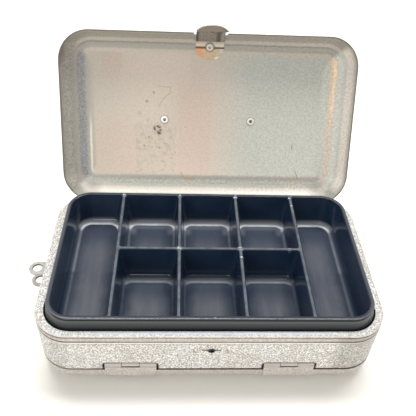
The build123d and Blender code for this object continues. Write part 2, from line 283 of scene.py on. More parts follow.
def crinkle_height(finish):
    """The wrinkled skin of the lacquer: short crossing folds about a millimetre apart."""
    warp = finish.node("TexNoise", finish.place)
    warp.inputs["Scale"].default_value = 1 / (2.2 * MM)
    place = finish.vectors("ADD", finish.place, finish.scaled(warp.outputs["Color"], 1.1 * MM))
    coarse = finish.noise(place, 1.25 * MM, detail=1.0, roughness=0.5)
    fold = finish.unsigned(finish.minus(coarse, 0.5))
    fold = finish.fade(fold, 0.0, 0.1, 1.0, 0.0)
    fine = finish.noise(place, 0.5 * MM, detail=2.0, roughness=0.6)
    return finish.plus(finish.times(fold, 0.55), finish.times(fine, 0.45))


LACQUER_DARK = tone(168, 164, 160)
LACQUER_LIGHT = tone(252, 251, 249)
GROOVE_DIRT = tone(112, 105, 98)


def crinkle_colour(finish, height):
    # Painted shade and light: the folds' valleys are painted darker and their crests lighter.
    shade = finish.fade(height, 0.12, 0.72)
    colour = finish.blend(shade, LACQUER_DARK, LACQUER_LIGHT)
    cloud = finish.noise(finish.place, 26 * MM, detail=3)
    cloud = finish.fade(cloud, 0.4, 0.7, 0.0, 0.5)
    return finish.blend(cloud, colour, tone(246, 240, 234), mode="MULTIPLY")


def lid_lacquer(name, upper):
    """Crinkle, rubbed browner along the front of the lower lid, with painted shade along the lid's edge, paler at
    its left front end.
    """
    finish = Finish(name, metallic=0.15, roughness=0.42)
    height = crinkle_height(finish)
    x, y, z = finish.in_mm(finish.place)
    rubbed = finish.times(finish.fade(y, -46.0, -40.0, 1.0, 0.0), finish.fade(z, 13.0, 16.0, 1.0, 0.0))
    colour = finish.blend(finish.times(rubbed, 0.65), crinkle_colour(finish, height), tone(177, 168, 159))
    # Painted shade: a dark line along the lid's edge, paler at its left front end.
    edge_shade = finish.fade(finish.in_mm(finish.shut(upper))[2], LID_EDGE_Z - 0.05, LID_EDGE_Z + 0.05, 1.0, 0.0)
    bright_end = finish.times(finish.fade(x, -60.0, -52.0, 1.0, 0.0), finish.fade(y, 0.0, 1.0, 1.0, 0.0))
    edge_shade_colour = finish.blend(bright_end, tone(110, 104, 98), tone(176, 170, 164))
    finish.colour(finish.blend(edge_shade, colour, edge_shade_colour))
    finish.relief(height, CRINKLE_DEPTH, CRINKLE_STRENGTH)
    return finish.material


def rub_marks_and_slot_shade(finish, across, level):
    """Dark scuffs that the latch's bump and edges leave round the slot, and the slot's hole painted dark as shade:
    each is a mask.
    """
    place = finish.node("CombineXYZ", across, level, 0.0).outputs[0]
    line = finish.stroke(place, (-4.6, 0.8, 0), (4.4, 0.8, 0), 1.2)
    # Painted shade: a dark blot for the slot's hole.
    line = finish.most(line, finish.blot(place, (0.0, 0.3, 0.0), 2.3, 0.3))
    under = finish.stroke(place, (-0.2, -1.2, 0), (0.2, -2.6, 0), 1.0)
    under = finish.times(under, 0.55)
    left = finish.stroke(place, (-9.2, 1.6, 0), (-9.0, -1.2, 0), 0.9)
    hook = finish.stroke(place, (-9.0, -1.2, 0), (-7.2, -1.0, 0), 0.8)
    right = finish.stroke(place, (8.2, 1.2, 0), (8.3, -1.4, 0), 0.9)
    brown = finish.times(finish.most(left, hook, right), 0.8)
    return finish.most(line, under), brown


def gap_shade(finish, x, y, z):
    """Painted shade in the gaps along the edge of each hinge notch and along the body's lower edge."""
    lower = finish.minus(z, body_foot_z / MM)
    from_notch = finish.minus(finish.unsigned(x), hinge_x / MM)
    outside, _, _ = finish.past_box(from_notch, lower, NOTCH_HALF, NOTCH_RISE, NOTCH_CORNER)
    outline = finish.fade(outside, 0.25, 0.6, 0.6, 0.0)
    near_parting = finish.fade(lower, 0.3, 0.75, 1.0, 0.0)
    between = finish.fade(finish.unsigned(x), hinge_x / MM, hinge_x / MM + 3, 0.95, 0.1)
    edge = finish.times(near_parting, between)
    front = finish.fade(y, 0.0, 1.0, 1.0, 0.0)
    return finish.times(finish.most(outline, edge), front)


def body_lacquer():
    """Crinkle on the walls, smooth and bright over both shoulders, dirt in the rolled grooves; painted shade on the
    shoulder's top, on the front wall, on the rounded corners and in the gaps, and the slot's hole painted dark as
    shade.
    """
    finish = Finish("silver_crinkle_body", metallic=0.15, roughness=0.42)
    height = crinkle_height(finish)
    x, y, z = finish.in_mm(finish.place)
    drop = finish.minus(shoulder_z / MM, z)
    wander = finish.noise(finish.place, 5 * MM, detail=2)
    wavy_drop = finish.plus(drop, finish.times(finish.minus(wander, 0.5), 0.9))
    colour = crinkle_colour(finish, height)
    _, past_x, past_y = finish.past_box(x, y, half_length / MM, half_width / MM, CASE_CORNER)
    past_x = finish.plus(past_x, finish.fade(x, 20.0, 70.0, 0.0, 9.0))
    corner = finish.fade(finish.maths("MINIMUM", past_x, past_y), -3.0, 6.0)
    from_middle = finish.unsigned(x)
    towards_ends = finish.fade(from_middle, 35.0, 60.0, 0.0, 0.6)
    smooth = finish.times(finish.fade(drop, 1.6, 2.2), finish.fade(wavy_drop, 6.2, 7.4, 1.0, 0.0))
    colour = finish.blend(finish.times(smooth, 0.6), colour, tone(184, 176, 167))
    front = finish.fade(y, -46.0, -43.0, 1.0, 0.0)
    # Painted shade: the shoulder's top is darker where the lamps fall most strongly, darker and bluer along its
    # front, and the front wall a little darker below it.
    top = finish.fade(drop, 0.1, 0.4, 1.0, 0.0)
    colour = finish.blend(top, colour, tone(226, 226, 223), mode="MULTIPLY")
    front_top_shade = finish.times(front, finish.fade(from_middle, 50.0, 74.0, 0.8, 0.2))
    colour = finish.blend(finish.times(top, front_top_shade), colour, tone(178, 182, 188))
    front_wall_shade = finish.minus(front, top, clamp=True)
    colour = finish.blend(front_wall_shade, colour, tone(247, 246, 245), mode="MULTIPLY")
    crown = finish.band(drop, 0.4, 1.3, 0.3)
    colour = finish.blend(finish.times(crown, 0.6), colour, tone(220, 220, 217))
    upper_line = finish.band(drop, 1.75, 2.35, 0.25)
    lower_line = finish.band(drop, 5.0, 5.8, 0.3)
    ledge = finish.band(wavy_drop, 7.2, 7.8, 0.4)
    bright = finish.band(wavy_drop, 6.1, 6.9, 0.3)
    colour = finish.blend(finish.times(bright, 0.8), colour, tone(240, 237, 232))
    # Painted shade on the rounded corners, stronger on the right.
    corner_shade = finish.times(corner, finish.fade(x, -10.0, 10.0, 0.6, 1.0))
    corner_shade = finish.times(corner_shade, finish.fade(drop, 1.5, 2.5, 0.15, 1.0))
    colour = finish.blend(corner_shade, colour, tone(218, 217, 215), mode="MULTIPLY")
    wide_lines = finish.most(finish.band(drop, 1.7, 2.9, 0.4), finish.band(drop, 4.7, 6.0, 0.4))
    worn = finish.fade(finish.noise(finish.place, 1.6 * MM, detail=2), 0.42, 0.62, 0.45, 1.0)
    grooved = finish.times(finish.most(corner, towards_ends), wide_lines)
    grooved = finish.times(grooved, worn)
    colour = finish.blend(finish.times(grooved, 0.85), colour, GROOVE_DIRT)
    colour = finish.blend(finish.times(upper_line, 0.7), colour, GROOVE_DIRT)
    colour = finish.blend(finish.times(lower_line, 0.95), colour, tone(102, 88, 78))
    colour = finish.blend(finish.times(ledge, 0.45), colour, tone(120, 114, 106))
    # Painted shade in the gaps round the hinge notches and along the parting line.
    colour = finish.blend(gap_shade(finish, x, y, z), colour, tone(52, 44, 48))
    level = finish.minus(z, (mid_z / MM) + 1.8)
    dark, brown = rub_marks_and_slot_shade(finish, x, level)
    # Scuffs round the slot, and its hole painted dark as shade.
    colour = finish.blend(finish.times(dark, front), colour, tone(30, 27, 28))
    colour = finish.blend(finish.times(brown, front), colour, tone(120, 98, 84))
    finish.colour(colour)
    quiet = finish.minus(1.0, finish.times(smooth, 0.6))
    finish.relief(finish.times(height, quiet), CRINKLE_DEPTH, CRINKLE_STRENGTH)
    return finish.material


def tinplate():
    finish = Finish("plain_tinplate", metallic=0.4, roughness=0.4)
    grain = finish.noise(finish.place, 0.7 * MM, detail=3)
    finish.colour(finish.ramp(grain, 0.3, 0.7, [(0.3, tone(176, 174, 168)), (0.7, tone(204, 201, 194))]))
    return finish.material


def tray_plastic():
    """Glossy dark walls; floors paler, partly scuffed and partly painted light from above; painted highlights and a
    painted reflection at the back of each floor; pale lines on the dividers' tops and the rim's bead, partly worn
    and partly painted highlight; a greyer skirt, with painted shade at its foot, under the rim and on the rim's
    outer face.
    """
    finish = Finish("dark_blue_grey_plastic", metallic=0.0, roughness=0.22)
    x, y, z = finish.in_mm(finish.place)
    height = finish.unsigned(finish.minus(z, mid_z / MM))
    cloud = finish.noise(finish.place, 14 * MM, detail=3)
    wall = finish.ramp(cloud, 0.3, 0.7, [(0.3, tone(28, 43, 62)), (0.7, tone(36, 51, 71))])
    middle, from_back, past_flat = floor_middles(finish, x, y)
    scuffed = tray_floor(finish, x, y, middle, from_back)
    floor = finish.fade(height, 1.4, 2.6, 1.0, 0.0)
    # The floors paler than the walls: partly scuffs, partly painted light from above.
    colour = finish.blend(floor, wall, scuffed)
    # Painted highlights at the back of each floor, paler in the back row: a gradient up the fillet and a bright line
    # along the floor's back edge.
    behind = finish.fade(from_back, 6.0, 11.0, 1.0, 0.12)
    broken = finish.fade(finish.noise(finish.place, 5 * MM, detail=2), 0.35, 0.6, 0.7, 1.0)
    fillet_highlight = finish.times(finish.fade(past_flat, -0.4, 0.2), finish.fade(past_flat, 0.2, 4.2, 0.85, 0.05))
    fillet_highlight = finish.times(fillet_highlight, finish.fade(height, 3.0, 5.0, 1.0, 0.0))
    line = finish.times(finish.band(past_flat, -0.7, 0.7, 0.45), broken)
    back_row = finish.fade(y, 0.0, 2.0)
    from_middle = finish.unsigned(x)
    # The colour of the fillet's painted highlight.
    worn = finish.blend(back_row, tone(132, 138, 146), tone(172, 176, 182))
    colour = finish.blend(finish.times(fillet_highlight, behind), colour, worn)
    # Painted reflection on the floor just in front of its back edge.
    near = finish.times(finish.band(past_flat, -3.5, -0.2, 2.0), finish.fade(from_back, 9.0, 15.0, 0.6, 0.0))
    near = finish.times(near, finish.fade(from_middle, 50.0, 52.0, 1.0, 0.1))
    reflected = finish.blend(back_row, tone(66, 72, 83), tone(112, 117, 126))
    colour = finish.blend(near, colour, reflected)
    # The colour of the painted highlight line along the floor's back edge.
    back_edge_highlight = finish.blend(back_row, tone(150, 155, 163), tone(232, 236, 241))
    colour = finish.blend(finish.times(finish.times(line, behind), 0.9), colour, back_edge_highlight)
    finish.gloss(finish.plus(finish.times(finish.times(middle, floor), 0.16), 0.16))
    outside, _, _ = finish.past_box(x, y, WELL_HALF_X, WELL_HALF_Y, WELL_CORNER)
    skirt = finish.times(finish.fade(outside, 1.2, 1.6), finish.fade(height, 20.3, 20.5, 1.0, 0.0))
    # Painted shade on the skirt: darker towards its foot, with a dark line just under the rim.
    stops = [(15.0, tone(34, 36, 40)), (16.2, tone(42, 44, 48)), (18.4, tone(50, 52, 56)),
             (19.6, tone(66, 68, 72)), (20.1, tone(26, 27, 32))]
    colour = finish.blend(skirt, colour, finish.ramp(height, 15.0, 20.1, stops))
    scuff = finish.fade(finish.noise(finish.place, 4 * MM, detail=3), 0.3, 0.7, 0.5, 1.0)
    on_rim = finish.fade(outside, -0.15, 0.05)
    rim_top = finish.times(on_rim, finish.fade(height, 20.9, 21.5))
    colour = finish.blend(rim_top, colour, tone(52, 56, 63))
    ends = finish.times(rim_top, finish.fade(from_middle, 76.0, 81.0))
    colour = finish.blend(ends, colour, tone(70, 74, 81))
    # Painted shade on the rim's outer face.
    face = finish.times(finish.fade(outside, 2.1, 2.25), finish.fade(height, 21.3, 21.6, 1.0, 0.0))
    face = finish.times(face, finish.fade(height, 20.0, 20.2))
    colour = finish.blend(face, colour, tone(20, 22, 27))
    inner = finish.times(finish.band(outside, 0.0, 0.4, 0.15), rim_top)
    colour = finish.blend(finish.times(inner, 0.6), colour, tone(32, 36, 43))
    shine = finish.times(skirt, finish.node("MapRange", height, 15.2, 19.8, -0.5, 0.2).outputs[0])
    shine = finish.minus(shine, finish.times(face, 0.42))
    dull = finish.times(floor, finish.fade(from_back, 9.0, 24.0, 0.34, 0.16))
    shine = finish.plus(finish.minus(shine, dull), 0.5)
    finish.feed(finish.shader.inputs["Specular IOR Level"], shine)
    edges = finish.times(finish.band(outside, 1.55, 1.95, 0.15), rim_top)
    divider_top = finish.minus(finish.fade(height, 21.05, 21.15), on_rim, clamp=True)
    divider_flat = finish.times(divider_top, finish.fade(height, 21.38, 21.46))
    colour = finish.blend(divider_top, colour, tone(42, 48, 58))
    # Pale lines on the rim's bead and the dividers' flat tops: partly wear, partly painted highlight.
    pale = finish.times(finish.most(edges, divider_flat), scuff)
    colour = finish.blend(pale, colour, tone(96, 101, 109))
    nicked = finish.times(nicks(finish, x, y), finish.fade(height, 18.0, 21.0))
    colour = finish.blend(nicked, colour, tone(176, 180, 184))
    finish.colour(colour)
    finish.relief(finish.noise(finish.place, 1.6 * MM, detail=2), 0.04 * MM, 0.35)
    return finish.material


def floor_middles(finish, x, y):
    """1 on the scuffed middle of each floor, the distance from its back wall, and that past its flat."""
    waver = finish.times(finish.minus(finish.noise(finish.place, 11 * MM), 0.5), 5.0)
    away_x, away_y = finish.unsigned(x), finish.unsigned(finish.minus(y, CROSS_Y))
    across = finish.node("Math", x, -HALF_CELL, HALF_CELL, operation="WRAP").outputs[0]
    from_back = finish.node("Math", finish.minus(CROSS_Y, y), 0.0, ROW_DEPTH, operation="WRAP").outputs[0]
    from_end = finish.minus(BACK_WALL_Y, y)
    end_across = finish.minus(away_x, END_CELL_X)
    in_cell = finish.fade(away_x, END_DIVIDER_X - 0.5, END_DIVIDER_X + 0.5, 1.0, 0.0)
    in_end = finish.minus(1.0, in_cell)

    def by_kind(small, end):
        return finish.plus(finish.times(small, in_cell), finish.times(end, in_end))

    cell = finish.fade(finish.plus(finish.unsigned(across), waver), 4.0, 14.0, 1.0, 0.0)
    cell = finish.times(cell, finish.fade(from_back, 33.0, 40.0, 1.0, 0.0))
    end = finish.fade(finish.plus(finish.unsigned(end_across), waver), 3.0, 12.0, 1.0, 0.0)
    end = finish.times(end, finish.fade(away_y, 30.0, 42.0, 1.0, 0.0))
    to_middle = finish.fade(y, 0.0, 2.0, 25.4, 21.7)
    cell_edge, _, _ = finish.past_box(across, finish.minus(from_back, to_middle), *CELL_FLAT)
    end_edge, _, _ = finish.past_box(end_across, y, *END_FLAT)
    return by_kind(cell, end), by_kind(from_back, from_end), by_kind(cell_edge, end_edge)


def tray_floor(finish, x, y, middle, from_back):
    """Darker by the walls and towards the back, as painted shade, and paler in the back row, as painted light;
    streaked, and paler where it is scuffed.
    """
    streaks = finish.node("CombineXYZ", finish.times(x, 0.28), finish.times(y, 0.03), 0.0)
    streak = finish.noise(streaks.outputs[0], 1.0, detail=3, roughness=0.6)
    scuffed = finish.ramp(streak, 0.3, 0.7, [(0.3, tone(59, 66, 78)), (0.7, tone(79, 80, 88))])
    # Painted light: the back row's floors paler.
    scuffed = finish.blend(finish.fade(y, -4.0, 16.0, 0.0, 0.35), scuffed, tone(88, 92, 100))
    forward = finish.fade(from_back, 12.0, 28.0, 0.1, 1.0)
    # Painted shade: darker by the walls and towards the back; from here on scuffed holds this shade as well as the
    # scuffs.
    shaded = finish.blend(finish.fade(y, 0.0, 2.0), tone(46, 54, 67), tone(56, 63, 76))
    scuffed = finish.blend(finish.times(middle, forward), shaded, scuffed)
    speck = finish.fade(finish.cells(finish.place, 9 * MM), 0.03, 0.06, 1.0, 0.0)
    return finish.blend(finish.times(speck, 0.6), scuffed, tone(120, 92, 74))


def nicks(finish, x, y):
    """Small pale nicks where the dividers meet each other and the rim."""
    place = finish.node("CombineXYZ", x, y, 0.0).outputs[0]
    torn = finish.fade(finish.noise(finish.place, 1.1 * MM, detail=2), 0.46, 0.56)
    spots = [(51.0, 45.0, 1.6), (17.0, 45.0, 1.6), (-17.0, 45.0, 1.6), (-51.0, 45.0, 1.6), (-17.0, 1.2, 1.5),
             (17.0, 1.2, 1.7), (17.2, -5.5, 1.3), (44.5, 1.2, 1.5), (51.0, 38.0, 1.2), (0.6, -45.6, 1.2)]
    found = finish.most(*(finish.blot(place, (*spot, 0.0), radius, 0.6) for *spot, radius in spots))
    return finish.times(found, torn)


# --- the lids' bare metal inside ------------------------------------------------

# The tinned sheet's few colours, from the painted shade on its lip to the painted highlight on its crest, with the
# painted reflections between them
TIN_LIP = tone(115, 110, 105)
TIN_DARK = tone(145, 145, 145)
TIN_DULL = tone(170, 165, 155)
TIN_WARM = tone(200, 190, 175)
TIN_GREY = tone(205, 205, 195)
TIN_PINK = tone(220, 205, 190)
TIN_PALE = tone(240, 230, 220)

# Millimetres past the flat: where the lip is painted darker as shade, and places beyond any edge
LIP_START, LIP_END = 19.0, 22.0
FAR_IN, FAR_OUT = -30, 30


def rolled_edge(finish, edge, ground, lip, stripes):
    """Stripes of painted reflection and shade that run along the rolled edge, each (from, to, soft rim, strength,
    colour), and a lip painted dark as shade.
    """
    colour = ground
    for start, end, soft, strength, shade in stripes:
        stripe = finish.times(finish.band(edge, start, end, soft), strength)
        colour = finish.blend(stripe, colour, shade)
    # The lip painted darker, as shade.
    return finish.blend(finish.fade(edge, LIP_START, LIP_END, 0.0, lip), colour, TIN_LIP)


def stains(finish, place):
    """Scratches, rust spots and stuck hairs on the flat of the lid: (mask, strength, colour) each."""
    level = LID_FLAT_Z

    def line(width, *points):
        runs = [finish.stroke(place, (*a, level), (*b, level), width) for a, b in zip(points, points[1:])]
        return finish.most(*runs)

    def spot(x, y, radius, soft=0.7):
        return finish.blot(place, (x, y, level), radius, soft)

    scratch = line(1.3, (-31.5, -19.7), (-23.4, -19.2), (-24.4, -15.2), (-28.5, -11.8), (-31.2, -7.0))
    hair = line(0.9, (-16.7, 35.2), (-14.2, 39.2), (-8.5, 40.2))
    dark_hair = finish.most(line(0.7, (58.5, 33.0), (60.7, 38.1)), line(0.8, (55.3, 15.6), (55.3, 18.6)))
    yellow = finish.most(spot(-38.0, 1.3, 2.0), spot(-43.1, -2.7, 2.4))
    brown = finish.most(spot(-34.2, -15.7, 1.2), spot(-37.4, 12.4, 1.0), spot(-30.5, 19.3, 0.9),
                        spot(-40.2, 18.0, 1.1), spot(-38.6, -10.2, 1.4))
    orange = finish.most(spot(-14.0, 5.3, 1.0), spot(56.2, 40.0, 1.9))
    corner_mark = finish.blot(place, (-86.5, -37.0, 43.0), 9.0, 0.8)
    smudge = finish.most(spot(-31.9, 7.0, 3.4, 0.5), spot(-30.6, 9.2, 2.0, 0.5))
    torn = finish.fade(finish.noise(place, 1.6, detail=3, roughness=0.7), 0.44, 0.52)
    smudge = finish.times(smudge, torn)
    return [(corner_mark, 0.55, (134, 116, 104)), (scratch, 0.38, (178, 160, 112)),
            (yellow, 0.4, (180, 166, 128)), (brown, 0.6, (140, 118, 98)), (hair, 0.85, (208, 152, 76)),
            (orange, 0.6, (206, 172, 106)), (dark_hair, 0.75, (120, 114, 106)), (smudge, 0.95, (84, 76, 80))]


def flat_patches(finish, place, x, y):
    """Square-edged pink and grey patches on the flat, painted reflections: (mask, strength, colour to multiply by)
    each.
    """

    def patch(x0, x1, y0, y1, soft):
        return finish.times(finish.band(x, x0, x1, 0.8), finish.band(y, y0, y1, soft))

    mottle = finish.fade(finish.noise(place, 3.0, detail=3, roughness=0.65), 0.5, 0.62)
    column = patch(-46, -20, 4, 44, 4.0)
    return [(patch(-74, -46, 4, 50, 8.0), 0.6, (255, 243, 243)),
            (patch(-19, 2, -20, 50, 12.0), 0.45, (255, 241, 239)),
            (patch(-66, -54, -44, -26, 8.0), 0.6, (255, 240, 238)),
            (column, 1.0, (250, 250, 248)),
            (finish.times(column, mottle), 0.6, (226, 224, 218)),
            (patch(-12, 80, -60, -22, 10.0), 0.6, (246, 248, 250))]


def lid_lining(name, upper):
    """Bare tinned sheet: painted reflections and shade run in stripes along its rolled edge, with painted glints;
    the flat carries painted reflections, painted shade round the rivets, and is stained and mottled.
    """
    finish = Finish(name, metallic=0.1, roughness=0.45)
    place = finish.scaled(finish.shut(upper), 1 / MM)
    x, y, z = finish.split(place)
    flat_x = (half_length - lid_depth) / MM + FLAT_MARGIN
    flat_y = (half_width - lid_depth) / MM + FLAT_MARGIN
    beyond, past_x, past_y = finish.past_box(x, y, flat_x, flat_y, FLAT_CORNER)
    wobble = finish.noise(place, 6.0, detail=2)
    wobble = finish.times(finish.minus(wobble, 0.5), 1.1)
    drop = finish.minus(LID_FLAT_Z, z)
    edge = finish.plus(finish.plus(beyond, drop), wobble)
    # Painted reflections and shade: stripes along the rolled edge at each end.
    left = rolled_edge(finish, edge, TIN_DULL, 1.0, [
        (FAR_IN, -6, 2.0, 0.4, TIN_WARM), (-3, 1.8, 1.2, 1.0, TIN_DARK), (8, 18.5, 3.0, 0.35, TIN_GREY)])
    glint = finish.times(finish.band(edge, -6.3, -4.9, 0.4), finish.fade(y, -6.0, 12.0))
    left = finish.blend(glint, left, tone(222, 216, 200))
    right = rolled_edge(finish, edge, TIN_GREY, 0.6, [
        (-3, 1.6, 1.2, 0.9, TIN_PINK), (9, 16.5, 1.5, 0.9, TIN_PALE), (19, FAR_OUT, 1.5, 0.4, TIN_DULL)])
    # Painted glint, warm, along the right end's rolled edge.
    warm_glint = finish.times(finish.band(edge, -2.4, 1.2, 0.9), finish.fade(y, -26.0, 16.0, 0.9, 0.0))
    right = finish.blend(warm_glint, right, tone(246, 212, 176))
    gleam = finish.times(finish.band(edge, -0.9, 0.9, 0.7), finish.band(y, -40.0, -6.0, 8.0))
    right = finish.blend(finish.times(gleam, 0.8), right, tone(255, 240, 216))
    ends = finish.blend(finish.fade(x, -1.0, 1.0), left, right)
    # Painted reflections and shade along the latch side's and the hinge side's rolled edges.
    latch_side = rolled_edge(finish, edge, TIN_DULL, 1.0, [
        (FAR_IN, 0.4, 0.8, 0.9, TIN_WARM), (4.3, 5.3, 0.5, 1.0, TIN_DARK), (5.9, 9, 0.6, 0.9, TIN_WARM),
        (15.5, 19, 1.5, 0.3, TIN_GREY)])
    hinge_side = rolled_edge(finish, edge, TIN_GREY, 0.2, [
        (-4.5, -1.5, 1.2, 0.8, TIN_DULL), (4, 8.5, 1.2, 0.9, TIN_PALE), (10, FAR_OUT, 1.5, 0.6, TIN_DULL)])
    sides = finish.blend(finish.fade(y, -1.0, 1.0), latch_side, hinge_side)
    at_end = finish.fade(finish.minus(past_x, past_y), -3.0, 3.0)
    border = finish.blend(at_end, sides, ends)
    # Painted reflections on the flat: warm at the left, pink in the middle, grey at the right, darker towards the
    # latch side, with patches.
    flat = finish.blend(finish.fade(x, -75.0, -25.0), TIN_WARM, TIN_PINK)
    flat = finish.blend(finish.fade(x, -5.0, 30.0), flat, TIN_GREY)
    flat = finish.blend(1.0, flat, finish.fade(y, -45.0, 45.0, 0.85, 1.08), mode="MULTIPLY")
    for mask, strength, shades in flat_patches(finish, place, x, y):
        flat = finish.blend(finish.times(mask, strength), flat, tone(*shades), mode="MULTIPLY")
    side_start = finish.fade(y, -1.0, 1.0, -3.0, -6.0)
    start = finish.node("MapRange", at_end, 0.0, 1.0, side_start, -9.0).outputs[0]
    colour = finish.blend(finish.fade(finish.minus(edge, start), 0.0, 2.2), flat, border)
    by_hinge = finish.times(finish.fade(y, 38.0, 46.0), finish.fade(past_x, -6.0, 3.0))
    colour = finish.blend(by_hinge, colour, tone(212, 212, 210), mode="MULTIPLY")
    spangle = finish.noise(place, 1.3, detail=2, roughness=0.7)
    spangle = finish.ramp(spangle, 0.3, 0.7, [(0.3, (0.62,) * 3), (0.7, (1.22,) * 3)])
    stripe = finish.band(edge, -3.0, 2.0, 1.0)
    outer = finish.times(finish.band(edge, 6.0, 19.0, 2.0), 0.85)
    left_end = finish.times(at_end, finish.fade(x, -1.0, 1.0, 1.0, 0.0))
    left_rough = finish.times(finish.most(stripe, outer), left_end)
    by_latch = finish.times(finish.minus(1.0, at_end), finish.fade(y, -1.0, 1.0, 0.6, 0.0))
    rough = finish.most(finish.times(stripe, finish.minus(0.6, by_latch)),
                        finish.fade(x, 0.0, 40.0, 0.0, 0.36), left_rough)
    colour = finish.blend(finish.plus(finish.times(rough, 0.75), 0.25, clamp=True), colour,
                          spangle, mode="MULTIPLY")
    # Painted shade round each of the belt loop's rivets.
    rivet_shadow_ring = finish.band(round_axis(finish, x, y, *LOOP_RIVET), 2.2, 2.8, 0.3)
    colour = finish.blend(finish.times(rivet_shadow_ring, 0.45), colour, tone(120, 112, 104))
    for mask, strength, shades in stains(finish, place):
        colour = finish.blend(finish.times(mask, strength), colour, tone(*shades))
    finish.colour(colour)
    return finish.material


def latch_strip(name, upper):
    """Spring strip: dark on its tongue, with painted shade beside its tab and below its foot's bend, a painted
    highlight over that bend and a painted glint on its heat-tinted foot.
    """
    finish = Finish(name, metallic=0.3, roughness=0.32)
    place = finish.scaled(finish.shut(upper), 1 / MM)
    x, y, z = finish.split(place)
    grain = finish.noise(place, 1.5, detail=4)
    tongue_tone = finish.ramp(grain, 0.3, 0.7, [(0.3, tone(136, 128, 120)), (0.7, tone(168, 161, 152))])
    dark_sides = finish.most(finish.band(x, -8.6, -7.2, 0.4), finish.band(x, 3.6, 6.2, 1.0))
    tongue_tone = finish.blend(finish.times(dark_sides, 0.75), tongue_tone, tone(78, 71, 66))
    tongue_tone = finish.blend(finish.band(x, 7.0, 7.8, 0.4), tongue_tone, tone(168, 160, 150))
    tab = finish.fade(z, 27.6, 28.4, 1.0, 0.0)
    # Painted shade along the tab's bend.
    tab_bend_shade = finish.band(z, 28.2, 30.2, 0.8)
    tongue_tone = finish.blend(finish.times(tab_bend_shade, 0.7), tongue_tone, tone(92, 84, 78))
    tongue_tone = finish.blend(tab, tongue_tone, finish.ramp(x, 5.0, 9.0, [(5.0, tone(160, 150, 136)),
                                                                   (9.0, tone(128, 116, 104))]))
    tint = finish.fade(x, -6.5, -1.5)
    foot = finish.blend(tint, tone(222, 156, 112), tone(202, 176, 142))
    foot = finish.blend(finish.fade(x, 2.0, 8.0), foot, tone(206, 198, 182))
    foot = finish.blend(finish.fade(grain, 0.35, 0.65, 0.0, 0.5), foot, tone(168, 146, 122))
    glint = finish.blot(place, (4.4, -36.9, 54.0), 2.0, 0.8)
    foot = finish.blend(finish.times(glint, 0.8), foot, tone(250, 244, 230))
    # Painted shade: a dark line between the foot and its bend.
    foot = finish.blend(finish.band(y, -43.9, -42.9, 0.35), foot, tone(90, 80, 74))
    # Painted highlight over the bend.
    foot = finish.blend(finish.band(y, -47.0, -44.5, 0.4), foot, tone(216, 208, 194))
    # Painted shade round the latch's rivet.
    rivet_shadow_ring = finish.fade(round_axis(finish, x, y, 0.0, -43.8), 2.2, 3.6, 0.7, 0.0)
    foot = finish.blend(rivet_shadow_ring, foot, tone(88, 78, 72))
    finish.colour(finish.blend(finish.fade(y, -47.3, -46.7), tongue_tone, foot))
    return finish.material


def round_axis(finish, x, y, centre_x, centre_y):
    """Distance from either of two upright axes that stand at equal distances left and right."""
    across = finish.minus(finish.unsigned(x), centre_x)
    place = finish.node("CombineXYZ", across, finish.minus(y, centre_y), 0.0)
    return finish.vectors("LENGTH", place.outputs[0])


def lid_rivets():
    """Bright rolled rims round a bore painted dark as shade."""
    finish = Finish("eyelet_steel", metallic=0.2, roughness=0.25)
    x, y, _ = finish.in_mm(finish.shut(True))
    away = round_axis(finish, x, y, *LOOP_RIVET)
    # The bore darker, as painted shade.
    stops = [(0.0, tone(150, 148, 142)), (0.95, tone(160, 158, 152)), (1.2, tone(236, 235, 230)),
             (1.9, tone(244, 243, 239)), (2.4, tone(200, 197, 189))]
    finish.colour(finish.ramp(away, 0.0, 2.4, stops))
    return finish.material


def bracket_steel():
    """Dull strip with painted shade in its two holes."""
    finish = Finish("bracket_strip_steel", metallic=0.2, roughness=0.35)
    x, y, _ = finish.in_mm(finish.place)
    place = finish.node("CombineXYZ", finish.minus(x, EYE_X), y, 0.0).outputs[0]
    # Painted shade on the holes' walls.
    hole_shade = finish.fade(finish.vectors("LENGTH", place), EYE_RADIUS + 0.1, EYE_RADIUS + 0.3, 1.0, 0.0)
    grain = finish.noise(finish.place, 1.5 * MM, detail=4)
    colour = finish.ramp(grain, 0.3, 0.7, [(0.3, tone(150, 148, 142)), (0.7, tone(178, 176, 170))])
    finish.colour(finish.blend(hole_shade, colour, tone(84, 82, 76)))
    return finish.material


def leaf_lacquer(name, upper):
    """The lid's own rubbed lacquer past the barrel, smoother and paler over the barrel, with painted shade along the
    seam between them.
    """
    finish = Finish(name, metallic=0.15, roughness=0.42)
    height = crinkle_height(finish)
    z = finish.in_mm(finish.shut(upper))[2]
    past_axis = finish.minus(z, hinge_z / MM)
    barrel = finish.fade(past_axis, 0.9, 1.3, 1.0, 0.0)
    rubbed = finish.blend(0.3 if upper else 0.65, crinkle_colour(finish, height), tone(182, 172, 163))
    smooth = finish.ramp(past_axis, -1.3, 1.3, [(-1.3, tone(198, 194, 187)), (-0.2, tone(198, 194, 187)),
                                                (0.2, tone(188, 181, 173)), (1.3, tone(182, 170, 163))])
    colour = finish.blend(barrel, rubbed, smooth)
    # Painted shade along the seam between the barrel and the leaf.
    seam_shade = finish.band(past_axis, 1.05, 1.35, 0.12)
    colour = finish.blend(finish.times(seam_shade, 0.5), colour, tone(120, 108, 100))
    finish.colour(colour)
    finish.relief(height, 0.2 * MM, 0.4)
    return finish.material


def dull_steel(name, low, high, roughness, metallic=0.85):
    finish = Finish(name, metallic=metallic, roughness=roughness)
    grain = finish.noise(finish.place, 1.5 * MM, detail=4)
    finish.colour(finish.ramp(grain, 0.3, 0.7, [(0.3, low), (0.7, high)]))
    return finish.material


# --- pieces -------------------------------------------------------------------

MERGE = 0.002 * MM
CREASE = math.radians(32)
LINING_SLOT = 1


